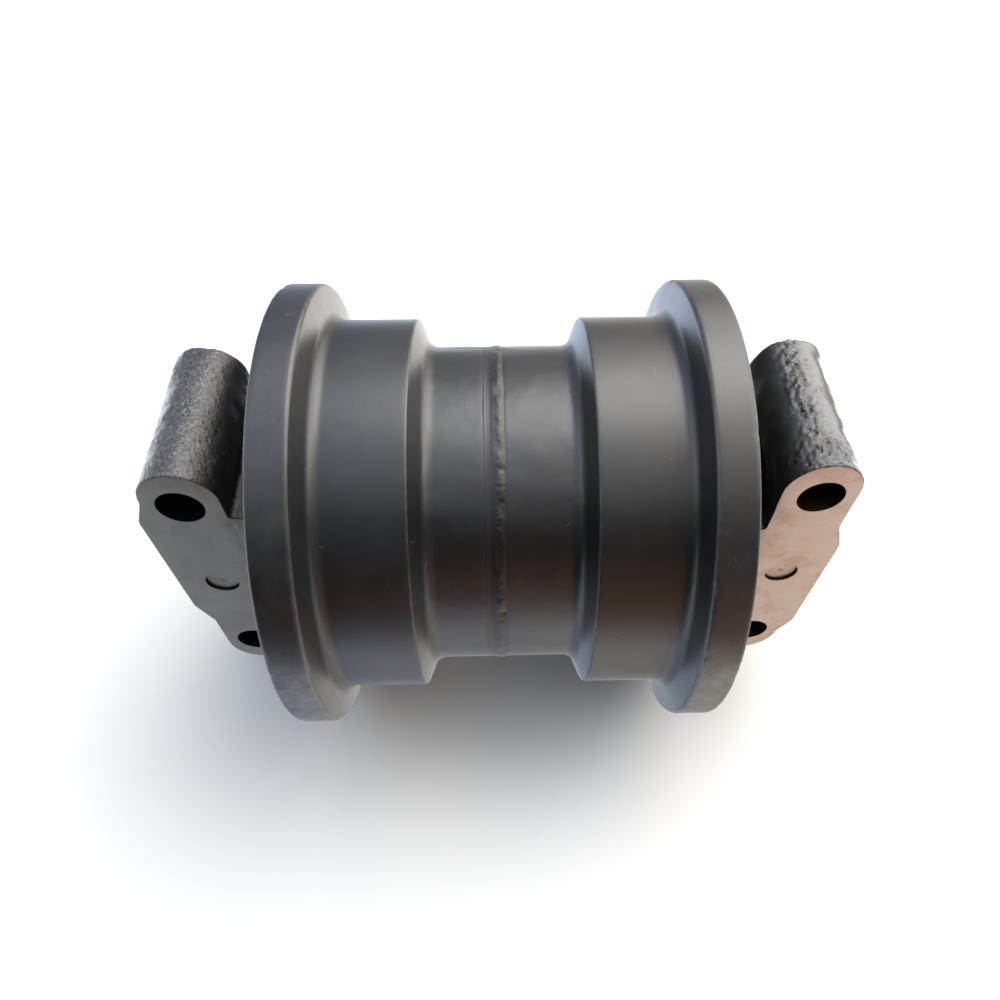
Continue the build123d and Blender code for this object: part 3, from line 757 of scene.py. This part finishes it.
studioValues = {
    "floorHalf": 6.0, "floorColour": "#f4f4f2", "floorRoughness": 0.9, "brightest": 3.0,
    # degrees round Y from the front (+X) over the top, and how bright the studio is there
    "bands": ((-180, 0.4), (-168, 0.7), (-150, 3.0), (-120, 1.8), (-90, 0.6), (-62, 1.0), (-45, 1.6),
              (-30, 0.42), (-15, 0.03), (8, 0.0), (24, 0.02), (38, 0.14), (50, 0.38), (62, 0.8), (75, 1.25),
              (88, 1.6), (106, 1.55), (125, 1.1), (145, 0.7), (180, 0.4)),
    "softboxWay": (-0.5, 0.62, 0.6), "softboxSpan": (0.7, 1.0), "softboxLevel": 2.9,
    "cardWay": (0.93, 0.32, -0.18), "cardSpan": (0.82, 0.97), "cardLevel": 0.55, "cardColour": "#e0a070",
    # tint of the studio by how far sideways it is, -1 left to 1 right
    "tints": ((-0.85, "#ffffff"), (-0.33, "#bed5f6"), (0.0, "#fbfbff"), (0.33, "#fff6ea"), (0.85, "#ffffff")),
    # a round lamp above: metres and watts
    "lampPlace": (-0.45, 0.15, 1.1), "lampTarget": (0.0, 0.0, 0.0), "lampSize": 0.9, "lampPower": 4.0,
    "lampColour": "#ffffff",
}


def studio():
    # the light all round: bands of brightness about Y, a broad soft box behind on the right, tints from side to
    # side, and a dim warm card low in front
    v = studioValues
    world = bpy.data.worlds.new("studio")
    world.use_nodes = True
    scene.world = world
    tree = world.node_tree
    tree.nodes.clear()
    way = addNode(tree, "ShaderNodeTexCoord").outputs["Generated"]
    axes = addNode(tree, "ShaderNodeSeparateXYZ", links={0: way}).outputs
    angle = addNode(tree, "ShaderNodeMath", {"operation": "ARCTAN2"},
                    links={0: axes["Z"], 1: axes["X"]}).outputs[0]
    turn = addNode(tree, "ShaderNodeMapRange", values={1: -math.pi, 2: math.pi}, links={0: angle}).outputs[0]
    stops = [((degrees + 180.0) / 360.0, (*[level / v["brightest"]] * 3, 1.0)) for degrees, level in v["bands"]]
    bands = addNode(tree, "ShaderNodeValToRGB", links={"Fac": turn}, stops=stops).outputs["Color"]
    level = addNode(tree, "ShaderNodeMath", {"operation": "MULTIPLY"}, {1: v["brightest"]}, {0: bands}).outputs[0]
    toBox = addNode(tree, "ShaderNodeVectorMath", {"operation": "DOT_PRODUCT"}, {1: v["softboxWay"]}, {0: way})
    boxEdge, boxHeart = v["softboxSpan"]
    box = addNode(tree, "ShaderNodeMapRange", {"interpolation_type": "SMOOTHSTEP"},
                  {1: boxEdge, 2: boxHeart, 4: v["softboxLevel"]}, {0: toBox.outputs["Value"]})
    strength = addNode(tree, "ShaderNodeMath", {"operation": "ADD"},
                       links={0: level, 1: box.outputs[0]}).outputs[0]
    sideways = addNode(tree, "ShaderNodeMapRange", values={1: -1.0, 2: 1.0}, links={0: axes["Y"]}).outputs[0]
    tint = addNode(tree, "ShaderNodeValToRGB", links={"Fac": sideways},
                   stops=[((y + 1.0) / 2.0, linear(colour)) for y, colour in v["tints"]]).outputs["Color"]
    toCard = addNode(tree, "ShaderNodeVectorMath", {"operation": "DOT_PRODUCT"}, {1: v["cardWay"]}, {0: way})
    cardEdge, cardHeart = v["cardSpan"]
    card = addNode(tree, "ShaderNodeMapRange", {"interpolation_type": "SMOOTHSTEP"},
                   {1: cardEdge, 2: cardHeart, 4: v["cardLevel"]}, {0: toCard.outputs["Value"]})
    room = addNode(tree, "ShaderNodeBackground", links={"Color": tint, "Strength": strength})
    warm = addNode(tree, "ShaderNodeBackground", {}, {"Color": linear(v["cardColour"])},
                   {"Strength": card.outputs[0]})
    both = addNode(tree, "ShaderNodeAddShader", links={0: room.outputs[0], 1: warm.outputs[0]})
    addNode(tree, "ShaderNodeOutputWorld", links={"Surface": both.outputs[0]})

    mat = newMaterial("paleFloor", Roughness=v["floorRoughness"], Base_Color=linear(v["floorColour"]))[0]
    half, z = v["floorHalf"], cadBounds[0].z
    corners = np.array([[(-half, -half, z), (-half, half, z)], [(half, -half, z), (half, half, z)]]) / mm
    floor = bpy.data.objects.new("floor", gridMesh("floor", corners, loopU=False, loopV=False))
    scene.collection.objects.link(floor)
    floor.data.materials.append(mat)
    floor.visible_glossy = floor.visible_diffuse = floor.visible_shadow = False

    lamp = bpy.data.lights.new("overhead", "AREA")
    lamp.shape, lamp.size, lamp.energy = "DISK", v["lampSize"], v["lampPower"]
    lamp.color = linear(v["lampColour"])[:3]
    overhead = bpy.data.objects.new("overhead", lamp)
    overhead.location = v["lampPlace"]
    aim = Vector(v["lampTarget"]) - Vector(v["lampPlace"])
    overhead.rotation_euler = aim.to_track_quat("-Z", "Y").to_euler()
    scene.collection.objects.link(overhead)


studio()

cameraValues = {
    "place": (0.20996, -0.00224, 0.27832), "turn": (33.945, -0.325, 88.597),   # metres, and degrees about X, Y, Z
    "lens": 27.91, "shiftX": -0.012, "shiftY": 0.0443, "nearest": 0.01, "farthest": 50.0,
}
camera = bpy.data.objects.new("camera", bpy.data.cameras.new("camera"))
camera.location = cameraValues["place"]
camera.rotation_euler = [math.radians(a) for a in cameraValues["turn"]]
camera.data.lens = cameraValues["lens"]
camera.data.shift_x, camera.data.shift_y = cameraValues["shiftX"], cameraValues["shiftY"]
camera.data.clip_start, camera.data.clip_end = cameraValues["nearest"], cameraValues["farthest"]
scene.collection.objects.link(camera)
scene.camera = camera
scene.view_settings.view_transform = "Standard"
print("studio and camera set")
